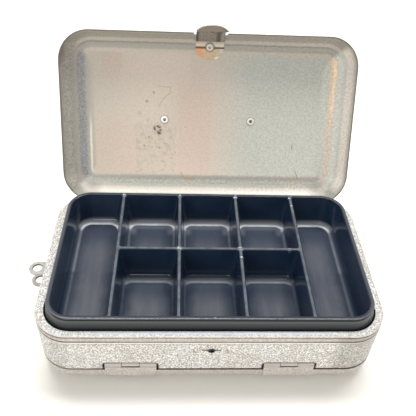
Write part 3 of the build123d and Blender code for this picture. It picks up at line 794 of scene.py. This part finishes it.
def piece_from(node, name, body, slot, *materials):
    """A piece that stands for a node: its own mesh, joined up, smooth except at its creases."""
    mesh = frame["nodes"][node].data.copy()
    mesh.name = name
    mesh.materials.clear()
    for material in materials:
        mesh.materials.append(material)
    shape = bmesh.new()
    shape.from_mesh(mesh)
    bmesh.ops.remove_doubles(shape, verts=shape.verts, dist=MERGE)
    for face in shape.faces:
        face.smooth = True
        face.material_index = 0
    shape.to_mesh(mesh)
    shape.free()
    if "custom_normal" in mesh.attributes:
        mesh.attributes.remove(mesh.attributes["custom_normal"])
    mesh.set_sharp_from_angle(angle=CREASE)
    piece = bpy.data.objects.new(name, mesh)
    bpy.context.scene.collection.objects.link(piece)
    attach(piece, body)
    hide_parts(node)
    return piece


def line_inside(piece, core):
    """Gives the faces that look towards the core the piece's second material."""
    for face in piece.data.polygons:
        if face.normal.dot(core - face.center) > 0:
            face.material_index = LINING_SLOT


def open_place(place):
    """Where a point of the shut top lid lies with the lid open."""
    hinge = Matrix.Translation((0, hinge_y, hinge_z))
    return hinge @ Matrix.Rotation(-lid_opening, 4, "X") @ hinge.inverted() @ Vector(place)


upper_outside = lid_lacquer("upper_crinkle_lacquer", True)
lower_outside = lid_lacquer("lower_crinkle_lacquer", False)
body_outside = body_lacquer()
plate = tinplate()
upper_lining = lid_lining("upper_lid_lining", True)
lower_lining = lid_lining("lower_lid_lining", False)
plastic = tray_plastic()
latch_steel = {"top": latch_strip("upper_latch_steel", True), "bottom": latch_strip("lower_latch_steel", False)}
ring_steel = dull_steel("latch_rivet_steel", tone(196, 194, 186), tone(224, 222, 214), 0.25, metallic=0.3)
rivet_steel = dull_steel("plated_rivet_steel", tone(236, 234, 228), tone(252, 251, 247), 0.25, metallic=0.2)
eyelet_steel = lid_rivets()
hinge_finish = {"top": leaf_lacquer("upper_leaf_lacquer", True),
                "bottom": leaf_lacquer("lower_leaf_lacquer", False)}
pin_steel = dull_steel("pin_wire_steel", tone(120, 116, 104), tone(160, 154, 140), 0.35)
loop_steel = dull_steel("loop_strip_steel", tone(166, 164, 159), tone(192, 190, 185), 0.35, metallic=0.2)

body = piece_from("body_shell", "body_case", "case", "case_lacquer", body_outside, plate)
line_inside(body, Vector((0, 0, mid_z)))
piece_from("partition_plate", "middle_plate", "case", "partition_tinplate", plate)
piece_from("top_tray", "upper_fly_tray", "lifting_tray", "tray_plastic", plastic)
piece_from("bottom_tray", "lower_fly_tray", "case", "tray_plastic", plastic)
upper_lid = piece_from("top_lid", "upper_lid_shell", "upper_lid", "case_lacquer", upper_outside, upper_lining)
line_inside(upper_lid, open_place((0, 0, shoulder_z + 2 * MM)))
lower_lid = piece_from("bottom_lid", "lower_lid_shell", "lower_lid", "case_lacquer", lower_outside, lower_lining)
line_inside(lower_lid, Vector((0, 0, body_foot_z - 2 * MM)))
piece_from("belt_loop", "belt_strap_loop", "upper_lid", "loop_steel", loop_steel)
piece_from("belt_loop_rivets", "belt_strap_rivets", "upper_lid", "rivet_steel", eyelet_steel)
piece_from("strap_bracket", "side_strap_bracket", "case", "loop_steel", bracket_steel())
piece_from("strap_bracket_rivets", "side_bracket_rivets", "case", "rivet_steel", rivet_steel)
for level, lid_body, latch_body in (("top", "upper_lid", "upper_latch"), ("bottom", "lower_lid", "lower_latch")):
    strip = latch_steel[level]
    piece_from(f"{level}_latch_foot", f"{level}_latch_foot_strip", lid_body, "latch_steel", strip)
    piece_from(f"{level}_latch_tongue", f"{level}_latch_spring_tongue", latch_body, "latch_steel", strip)
    piece_from(f"{level}_latch_rivet", f"{level}_latch_hollow_rivet", lid_body, "rivet_steel", ring_steel)
    for hand in ("left", "right"):
        hinge = f"{level}_{hand}_hinge"
        piece_from(f"{hinge}_lid_leaf", f"{hinge}_outer_leaf", lid_body, "hinge_steel", hinge_finish[level])
        piece_from(f"{hinge}_body_leaf", f"{hinge}_inner_leaf", "case", "hinge_steel", hinge_finish[level])
        piece_from(f"{hinge}_pin", f"{hinge}_pin_wire", "case", "pin_steel", pin_steel)


# --- stage --------------------------------------------------------------------

TABLE_COLOUR = (0.97, 0.955, 0.905, 1)
TABLE_SIZE = 4
ROOM_COLOUR = (1.0, 0.975, 0.94, 1)
CAMERA_PLACE = off(-17.81, -208.21, 267.26)
CAMERA_YAW, CAMERA_DOWN, CAMERA_ROLL = (math.radians(angle) for angle in (4.17, 41.85, 3.58))
CAMERA_SENSOR, CAMERA_LENS, CAMERA_NEAREST = 36.0, 47.07, 0.01


def table_top():
    finish = Finish("pale_table", metallic=0.0, roughness=0.9)
    finish.shader.inputs["Specular IOR Level"].default_value = 0.0
    finish.shader.inputs["Base Color"].default_value = TABLE_COLOUR
    mesh = bpy.data.meshes.new("table_top")
    shape = bmesh.new()
    bmesh.ops.create_grid(shape, x_segments=1, y_segments=1, size=TABLE_SIZE)
    shape.to_mesh(mesh)
    shape.free()
    mesh.materials.append(finish.material)
    table = bpy.data.objects.new("table_top", mesh)
    bpy.context.scene.collection.objects.link(table)


def lamp(name, place, aim, size, watts):
    light = bpy.data.lights.new(name, "AREA")
    light.shape = "RECTANGLE"
    light.size, light.size_y = size
    light.energy = watts
    made = bpy.data.objects.new(name, light)
    made.location = place
    made.rotation_euler = (Vector(aim) - Vector(place)).to_track_quat("-Z", "Y").to_euler()
    bpy.context.scene.collection.objects.link(made)


def room_light(strength):
    world = bpy.data.worlds.new("room")
    bpy.context.scene.world = world
    world.use_nodes = True
    background = world.node_tree.nodes["Background"]
    background.inputs["Color"].default_value = ROOM_COLOUR
    background.inputs["Strength"].default_value = strength


def camera():
    """Stands in front of the box and looks down into it."""
    view = bpy.data.cameras.new("camera")
    view.sensor_width = CAMERA_SENSOR
    view.lens = CAMERA_LENS
    view.clip_start = CAMERA_NEAREST
    made = bpy.data.objects.new("camera", view)
    turn = Matrix.Rotation(-CAMERA_YAW, 4, "Z") @ Matrix.Rotation(math.pi / 2 - CAMERA_DOWN, 4, "X")
    turn = turn @ Matrix.Rotation(CAMERA_ROLL, 4, "Z")
    made.matrix_world = Matrix.Translation(CAMERA_PLACE) @ turn
    bpy.context.scene.collection.objects.link(made)
    bpy.context.scene.camera = made


table_top()
lamp("ceiling_strip", place=(0.05, 0.27, 0.95), aim=(0, 0, 0.03), size=(0.9, 0.3), watts=11.7)
lamp("front_softbox", place=(-0.5, -1.2, 0.6), aim=(0, 0.07, 0.08), size=(1.0, 0.6), watts=6.4)
room_light(strength=0.5)
camera()
bpy.context.scene.view_settings.view_transform = "Standard"
